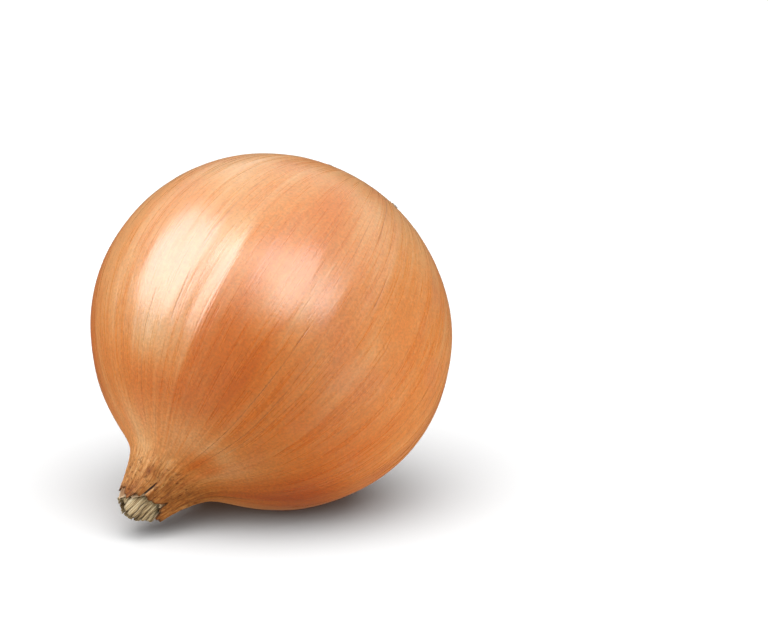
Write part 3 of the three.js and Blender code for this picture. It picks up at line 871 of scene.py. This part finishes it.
def neck_strips(material):
    """The pale inner sheaths: rings of torn strips round each other."""
    rng = np.random.default_rng(8)
    points, lanes, torns, faces = [], [], [], []
    faces_of_one = strip_faces(STRIP_ALONG, STRIP_ACROSS)
    first = 0
    for ring_radius, count, end, thickness in STRIP_RINGS:
        offset = rng.uniform(0, TURN)
        for i in range(count):
            direction = offset + (i + rng.uniform(-0.15, 0.15)) / count * TURN
            half_turn = 0.5 * TURN / count * rng.uniform(0.9, 1.15)
            strip_end = sheath_end(end, direction, ring_radius) + rng.uniform(-0.7, 0.5)
            stagger = 0.13 * (i % 2)
            outer, inner, lane, torn = sheath_strip(
                rng, ring_radius - stagger, direction, half_turn, strip_end, thickness
            )
            for side in (outer, inner):
                points.append(side.reshape(-1, 3))
                lanes.append(lane.reshape(-1, 3))
                torns.append(torn.ravel())
            faces.append(faces_of_one + first)
            first += 2 * outer.shape[0] * outer.shape[1]
    piece = mesh_object("neck_strips", laid(np.concatenate(points)), np.concatenate(faces).tolist(), material)
    set_attribute(piece, "lane", np.concatenate(lanes), "FLOAT_VECTOR")
    set_attribute(piece, "torn", np.concatenate(torns))
    return piece


# ---------------------------------------------------------------- the root end

def root_plate(material):
    """A low lumpy dome: rings from its crown to its edge and back underneath, with knobs where roots grew."""
    columns = 160
    phi = directions_round(columns)
    outline = (  # share of the plate's radius, and how far back from its crown
        (0.04, 0), (0.2, 0), (0.4, 0.12), (0.6, 0.3), (0.78, 0.55), (0.9, 0.85), (0.98, 1.1), (1.0, 1.7),
        (0.97, PLATE_TOP - PLATE_CROWN),
    )
    share = np.linspace(0, 1, 60)
    places = np.linspace(0, 1, len(outline))
    radius = PLATE_RADIUS * np.interp(share, places, [r for r, _ in outline])[:, None]
    s = PLATE_CROWN + np.interp(share, places, [back for _, back in outline])[:, None]
    turn = np.broadcast_to(phi, (len(share), columns))
    x, y = radius * np.cos(turn), radius * np.sin(turn)
    knobs = np.cos(3.1 * x + 1.3 * np.sin(1.7 * y)) * np.cos(2.9 * y + 1.1 * np.sin(2.1 * x))
    crumbs = np.cos(7.3 * x + 2 * np.sin(5.1 * y)) * np.cos(6.7 * y)
    lumps = (0.2 * knobs + 0.09 * crumbs - 0.29) * (1 - smoothstep(share, 0.75, 1.0))[:, None]
    points = np.stack([x, y, s - lumps], axis=-1).reshape(-1, 3)
    crown = [[0, 0, PLATE_CROWN - 0.2], [0, 0, PLATE_TOP]]
    points = laid(np.concatenate([points, crown]))
    count = len(share) * columns
    faces = (
        round_faces(len(share), columns).tolist()
        + fan_faces(count, 0, columns, outwards_last=False).tolist()
        + fan_faces(count + 1, count - columns, columns, outwards_last=True).tolist()
    )
    piece = mesh_object("root_plate", points, faces, material)
    set_attribute(piece, "tone", np.full(count + 2, 0.42))
    return piece


ROOT_COUNT = 230
ROOT_SIDES, ROOT_RINGS = 6, 9
ROOT_SHORTEST, ROOT_LONGEST = 1.8, 6.8


def root_path(rng, index):
    """A root's middle line: out of the plate, over to the combed side, with a curl of its own."""
    share = np.sqrt((index + 0.5) / ROOT_COUNT)
    phi = index * TURN * 0.381966 + rng.uniform(-0.2, 0.2)
    reach = share * (PLATE_RADIUS - 0.3)
    crown = lerp(PLATE_CROWN, PLATE_CROWN + 1.0, share ** 3)
    base = np.array([reach * np.cos(phi), reach * np.sin(phi), crown + 0.5])
    sheltered = 0.5 + 0.5 * share * np.cos(phi - COMBED_TOWARDS)
    length = lerp(ROOT_SHORTEST, ROOT_LONGEST, 0.6 * sheltered + 0.4 * rng.uniform())
    over = np.array([np.cos(COMBED_TOWARDS), np.sin(COMBED_TOWARDS), 0])
    outwards = np.array([np.cos(phi), np.sin(phi), 0])
    aside = COMBED_TOWARDS + rng.uniform(-1.7, 1.7)
    curl = np.array([np.cos(aside), np.sin(aside), 0])
    start_way = np.array([0, 0, -1.0]) + 0.35 * over + 0.45 * share * sheltered * outwards
    end_way = np.array([0, 0, rng.uniform(-0.6, 0.05)]) + 0.5 * over + 0.8 * curl
    start_way /= np.linalg.norm(start_way)
    end_way /= np.linalg.norm(end_way)
    middle = base + start_way * (0.5 + 0.45 * length)
    end = middle + end_way * 0.55 * length
    t = np.linspace(0, 1, ROOT_RINGS)[:, None]
    path = (1 - t) ** 2 * base + 2 * t * (1 - t) * middle + t ** 2 * end
    kinks = rng.normal(0, 0.09, (ROOT_RINGS, 3)) * np.minimum(t * 3, 1)
    return trimmed(path + kinks), rng.uniform(0.14, 0.42)


TRIM_TILT, TRIM_TOWARDS, TRIM_HEIGHT = np.radians(21.3), np.radians(-48), 38.0


def trimmed(path):
    """The roots were trimmed with one slanting cut: a root that would pass the cutting plane is drawn back
    towards its base until its furthest point lies in the plane."""
    level = np.array([np.cos(TRIM_TOWARDS), np.sin(TRIM_TOWARDS), 0])
    normal = np.sin(TRIM_TILT) * level - np.array([0, 0, np.cos(TRIM_TILT)])
    heights = path @ normal
    room = np.maximum(TRIM_HEIGHT - heights[0], 0.15)
    return path[0] + (path - path[0]) * min(1.0, room / max(heights.max() - heights[0], 1e-6))


def tube_points(path, radii, sides):
    """Rings round a path: each ring lies across the path's direction there."""
    way = np.gradient(path, axis=0)
    way /= np.linalg.norm(way, axis=1, keepdims=True)
    aside = np.cross(way, [0.3, 0.5, 0.81])
    aside /= np.linalg.norm(aside, axis=1, keepdims=True)
    other = np.cross(way, aside)
    turn = directions_round(sides)
    ring = np.cos(turn)[None, :, None] * aside[:, None] + np.sin(turn)[None, :, None] * other[:, None]
    return path[:, None] + radii[:, None, None] * ring


def dried_roots(material):
    """All the roots of the tuft: tapered tubes that shrink and swell a little as they dry."""
    rng = np.random.default_rng(3)
    points, tones, faces = [], [], []
    size = ROOT_SIDES * ROOT_RINGS
    tube = round_faces(ROOT_RINGS, ROOT_SIDES)
    for index in range(ROOT_COUNT):
        path, thick = root_path(rng, index)
        t = np.linspace(0, 1, ROOT_RINGS)
        radii = thick * lerp(1.15, 0.45, t) * (1 + 0.16 * rng.normal(size=ROOT_RINGS))
        radii = np.maximum(radii, 0.06)
        rings = tube_points(path, radii, ROOT_SIDES).reshape(-1, 3)
        first = index * (size + 2)
        points.append(np.concatenate([rings, path[:1], path[-1:]]))
        shade = rng.choice([0.15, 0.3, 0.5, 0.72, 0.95], p=[0.3, 0.28, 0.2, 0.12, 0.1])
        tones.append(np.full(size + 2, shade + rng.uniform(-0.06, 0.06)))
        faces += (tube + first).tolist()
        faces += (fan_faces(size, 0, ROOT_SIDES, outwards_last=False) + first).tolist()
        faces += (fan_faces(size + 1, size - ROOT_SIDES, ROOT_SIDES, outwards_last=True) + first).tolist()
    piece = mesh_object("dried_roots", laid(np.concatenate(points)), faces, material)
    set_attribute(piece, "tone", np.concatenate(tones))
    return piece


# ---------------------------------------------------------------- camera, floor and light

def camera_axes():
    """The camera's right, up and back directions for its azimuth and elevation."""
    back = np.array([
        np.sin(CAMERA_AZIMUTH) * np.cos(CAMERA_ELEVATION),
        -np.cos(CAMERA_AZIMUTH) * np.cos(CAMERA_ELEVATION),
        np.sin(CAMERA_ELEVATION),
    ])
    right = np.array([np.cos(CAMERA_AZIMUTH), np.sin(CAMERA_AZIMUTH), 0.0])
    return right, np.cross(back, right), back


def add_camera():
    """A long lens that looks a little to the right of the bulb and a little down on it."""
    right, up, back = camera_axes()
    place = CENTRE * MM + AIM_RIGHT * right + AIM_UP * up + CAMERA_DISTANCE * back
    data = bpy.data.cameras.new("camera")
    data.sensor_width = 36.0
    data.lens = CAMERA_LENS
    data.clip_start = 0.01
    camera = bpy.data.objects.new("camera", data)
    turn = Matrix((right, up, back)).transposed().to_4x4()
    camera.matrix_world = Matrix.Translation(Vector(place)) @ turn
    bpy.context.scene.collection.objects.link(camera)
    bpy.context.scene.camera = camera


def seen_way(way):
    """A direction given in the camera's right, up and back, as a unit vector of the row frame."""
    out = np.array(way, float) @ np.array(camera_axes())
    return out / np.linalg.norm(out)


def add_light(name, kind, energy, colour, place, facing):
    """A light at a place, turned by the given angles."""
    data = bpy.data.lights.new(name, kind)
    data.energy = energy
    data.color = colour
    light = bpy.data.objects.new(name, data)
    light.location = Vector(place)
    light.rotation_euler = facing
    bpy.context.scene.collection.objects.link(light)
    return light


def facing_from(out):
    """The angles that turn a light so that it shines from a direction."""
    return Vector(out).to_track_quat("Z", "Y").to_euler()


def add_panel(name, width, height, radiance, colour, place, facing):
    """A rectangle of light with the same radiance all over, whatever its size, in metres."""
    light = add_light(name, "AREA", radiance * np.pi * width * height, colour, place, facing)
    light.data.shape = "RECTANGLE"
    light.data.size, light.data.size_y = width, height
    return light


def add_softbox(name, way, distance, width, height, radiance, colour=(1, 1, 1)):
    """A rectangle of light that faces the bulb from a direction in the camera's right, up and back."""
    out = seen_way(way)
    return add_panel(name, width, height, radiance, colour, CENTRE * MM + out * distance, facing_from(out))


def add_dome(name, out, spread, irradiance, colour=(1, 1, 1)):
    """A wide even light from one side of the sky: a sun whose disc is as wide as the spread, in degrees."""
    light = add_light(name, "SUN", irradiance, colour, out, facing_from(out))
    light.data.angle = np.radians(spread)
    return light


def add_floor_glow(name, aside, towards, width, depth, radiance, colour=(1, 1, 1)):
    """A rectangle of light just under the floor that faces up, for the light that a pale floor throws back:
    its middle is so many millimetres to the camera's right of the onion and towards the camera."""
    right = np.array([np.cos(CAMERA_AZIMUTH), np.sin(CAMERA_AZIMUTH), 0])
    near = np.array([right[1], -right[0], 0])
    place = MM * (aside * right + towards * near + np.array([0, 0, -2]))
    return add_panel(name, width * MM, depth * MM, radiance, colour, place, (np.pi, 0, CAMERA_AZIMUTH))


def shine_only_on(light, floor, state):
    """The light shines on the floor alone, or on everything but the floor."""
    lit = bpy.data.collections.new(light.name + "_floor")
    lit.objects.link(floor)
    lit.collection_objects[0].light_linking.link_state = state
    light.light_linking.receiver_collection = lit


FLOOR_HALF, FLOOR_DROP = 4.0, 0.0001


def add_stage():
    """A plain matt floor and soft studio light: a large key box from the upper left, a smaller one from
    above, wide fills all round, and a faint even world."""
    corners = [[x * FLOOR_HALF, y * FLOOR_HALF, -FLOOR_DROP] for x, y in ((-1, -1), (1, -1), (1, 1), (-1, 1))]
    floor = mesh_object("floor", corners, [[0, 1, 2, 3]], white_floor(), smooth=False)
    # The floor has lights of its own, too bright for the onion: its bounce is left out, and the low fills
    # that stand for it shine through it.
    floor.visible_diffuse = False
    floor.visible_glossy = False
    floor.visible_shadow = False
    world = bpy.data.worlds.new("studio")
    bpy.context.scene.world = world
    world.use_nodes = True
    background = world.node_tree.nodes["Background"]
    background.inputs["Color"].default_value = (1.0, 1.0, 1.0, 1.0)
    background.inputs["Strength"].default_value = 0.08
    floor_lights = (
        add_dome("floor_top", (0, 0, 1), 100, 13.0),
        add_dome("floor_front", seen_way((0, 0.62, 0.78)), 90, 23.0),
    )
    for light in floor_lights:
        shine_only_on(light, floor, "INCLUDE")
    overhead = add_dome("overhead", (0, 0, 1), 130, 2.0)
    diffuse_only = (
        add_dome("sky", (0, 0, 1), 176, 0.4),
        add_dome("ground", (0, 0, -1), 176, 0.85, (1.0, 0.92, 0.82)),
        add_dome("left_fill", seen_way((-0.9, 0.0, 0.4)), 90, 1.0, (1.0, 0.95, 0.9)),
        add_dome("right_fill", seen_way((0.9, -0.05, 0.4)), 90, 1.9, (1.0, 0.92, 0.84)),
        add_floor_glow("left_glow", -75, 35, 90, 120, 0.55, (1.0, 0.95, 0.9)),
        add_floor_glow("right_glow", 70, 40, 100, 120, 0.6, (1.0, 0.9, 0.8)),
        add_floor_glow("back_glow", 0, -85, 160, 70, 0.5),
        add_softbox("key", (-0.68, 0.66, 0.33), 0.55, 0.36, 0.56, 2.15, (1.0, 0.97, 0.94)),
    )
    shine_only = (
        add_softbox("key_shine", (-0.74, 0.56, 0.34), 0.55, 0.46, 0.58, 4.5, (0.96, 1.0, 1.05)),
        add_softbox("fill_shine", (0.27, 0.55, 0.79), 0.60, 0.42, 0.46, 3.3, (0.9, 1.0, 1.02)),
    )
    for light in diffuse_only:
        light.visible_glossy = False
    for light in shine_only:
        light.visible_diffuse = False
    for light in (overhead, *diffuse_only, *shine_only):
        shine_only_on(light, floor, "EXCLUDE")
    view = bpy.context.scene.view_settings
    view.view_transform = "Standard"
    view.look = "None"


# ---------------------------------------------------------------- putting it together

add_camera()
add_stage()

skin_piece = outer_skin(dry_skin())
second_piece = second_skin(inner_skin())
straw = pale_sheath()
sleeve_pieces = [sheath_sleeve(name, straw, *sizes) for name, *sizes in SHEATH_SLEEVES]
strip_piece = neck_strips(straw)
bark = root_bark()
plate_piece = root_plate(bark)
root_piece = dried_roots(bark)

for piece, slot in (
    (skin_piece, "skin"),
    (second_piece, "skin"),
    *((sleeve, "sheath") for sleeve in sleeve_pieces),
    (strip_piece, "sheath"),
    (plate_piece, "root"),
    (root_piece, "root"),
):
    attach(piece, "root")

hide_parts("bulb")
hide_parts("neck_sheaths")
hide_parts("root_tuft")
